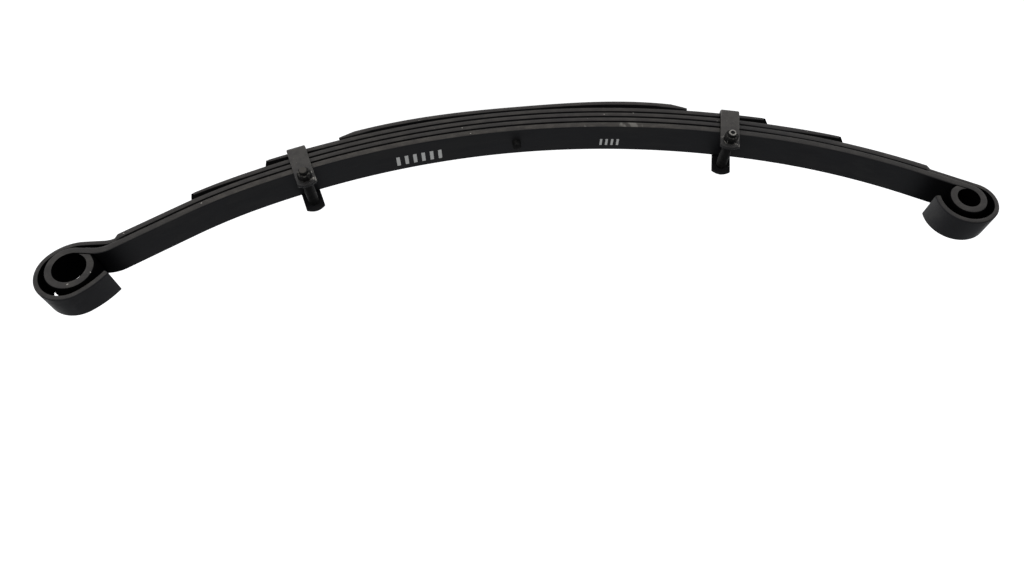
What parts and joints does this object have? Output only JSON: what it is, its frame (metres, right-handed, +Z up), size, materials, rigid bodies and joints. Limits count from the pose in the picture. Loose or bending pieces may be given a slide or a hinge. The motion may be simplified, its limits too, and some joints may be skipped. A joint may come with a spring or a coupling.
{
  "type": "leaf spring",
  "caption": "Multi-leaf vehicle spring with two rolled eyes, a wrapper leaf closed around them, a centre locating bolt and riveted rebound clips.",
  "frame": {"origin": "on the centre bolt's axis, under its locating head, 0.1 mm off the concave face of the main leaf", "axes": "+X along the spring to the larger, front eye; +Y across the spring, away from the clip nuts; +Z up through the locating head, to the concave side"},
  "size_m": [1.621, 0.1051, 0.3529],
  "materials": {
    "leaf_paint": "dark paint over rolled bar, dusty on the edges",
    "clip_paint": "dark paint with a few worn edges",
    "pad_black": "matt black",
    "fastener_paint": "dark paint, bare steel where a thread or end has been rubbed"
  },
  "bodies": {
    "spring": {"main_leaf": "leaf_paint", "wrapper_leaf": "leaf_paint", "third_leaf": "leaf_paint", "fourth_leaf": "leaf_paint", "fifth_leaf": "leaf_paint", "third_front_pad": "pad_black", "third_rear_pad": "pad_black", "fourth_front_pad": "pad_black", "fourth_rear_pad": "pad_black", "centre_bolt": "fastener_paint", "centre_nut": "fastener_paint", "front_clip": "clip_paint", "front_clip_rivet": "clip_paint", "front_clip_bolt": "fastener_paint", "front_clip_nut": "fastener_paint", "rear_clip": "clip_paint", "rear_clip_rivet": "clip_paint", "rear_clip_bolt": "fastener_paint", "rear_clip_nut": "fastener_paint"},
    "front_spacer": {"front_spacer_tube": "fastener_paint"},
    "rear_spacer": {"rear_spacer_tube": "fastener_paint"}
  },
  "joints": [
    {"name": "front_spacer_spin", "type": "hinge", "parent": "spring", "child": "front_spacer", "pos_m": [0.3762, 0, 0.07027], "axis": [0, 1, 0], "continuous": true},
    {"name": "rear_spacer_spin", "type": "hinge", "parent": "spring", "child": "rear_spacer", "pos_m": [-0.37697, 0, 0.06755], "axis": [0, 1, 0], "continuous": true}
  ]
}
